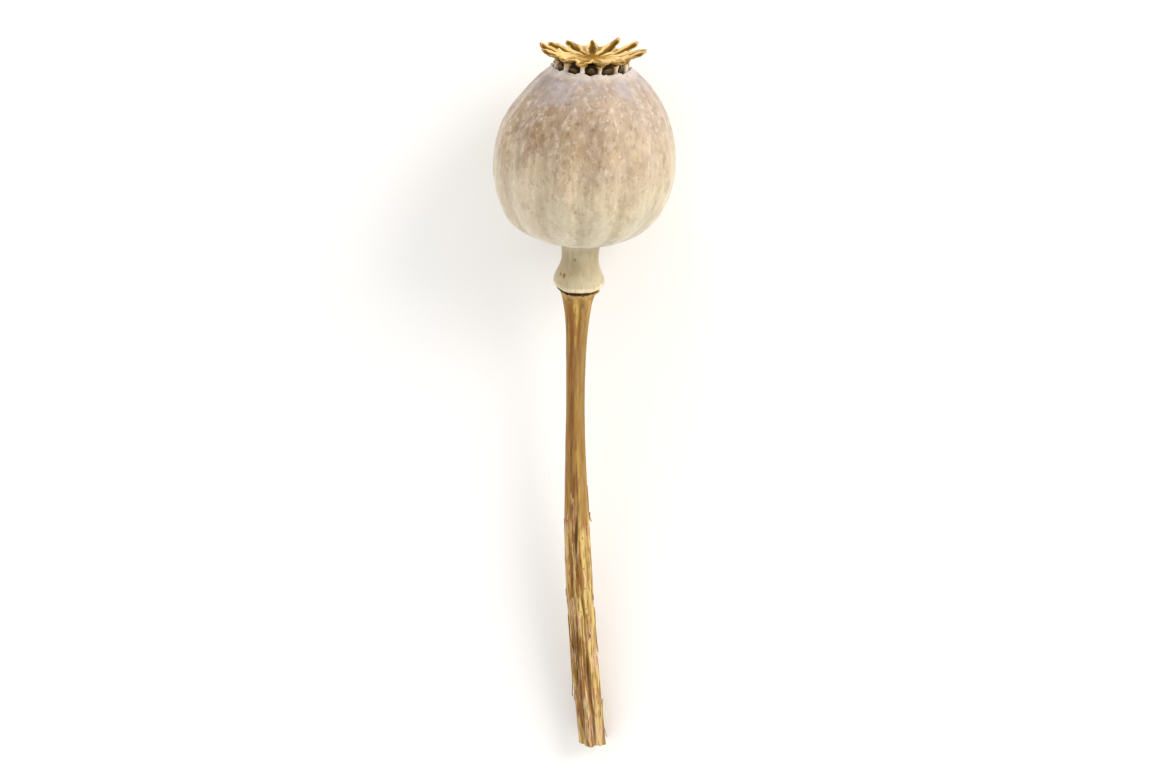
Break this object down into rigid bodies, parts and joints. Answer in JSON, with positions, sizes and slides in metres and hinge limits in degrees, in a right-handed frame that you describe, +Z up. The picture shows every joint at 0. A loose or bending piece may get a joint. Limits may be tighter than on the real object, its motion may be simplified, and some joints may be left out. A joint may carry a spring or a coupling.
{
  "type": "poppy seed head",
  "caption": "Dried poppy seed head lying on its side: a ribbed round capsule with a golden stigma crown over dark pores, on a pale flared neck and a cut, slightly bent stem.",
  "frame": {"origin": "on the surface it lies on, under the middle of its bounding box", "axes": "+Z up from the surface, +Y along the length from the stem's cut end to the crown, +X across"},
  "size_m": [0.0364, 0.1508, 0.0362],
  "materials": {
    "stem_bark": "dry straw-brown stalk with lengthwise ridges and fibres",
    "corky_scar": "dark corky ring",
    "pale_neck": "pale greenish cream, matt and waxy",
    "capsule_skin": "matt cream skin with brown mottling and a grey-lilac bloom near the top",
    "golden_crown": "dry golden yellow with brown grooves"
  },
  "bodies": {
    "root": {"stem": "stem_bark", "petal_scar": "corky_scar", "receptacle": "pale_neck", "capsule": "capsule_skin", "stigma_crown": "golden_crown"}
  },
  "joints": []
}
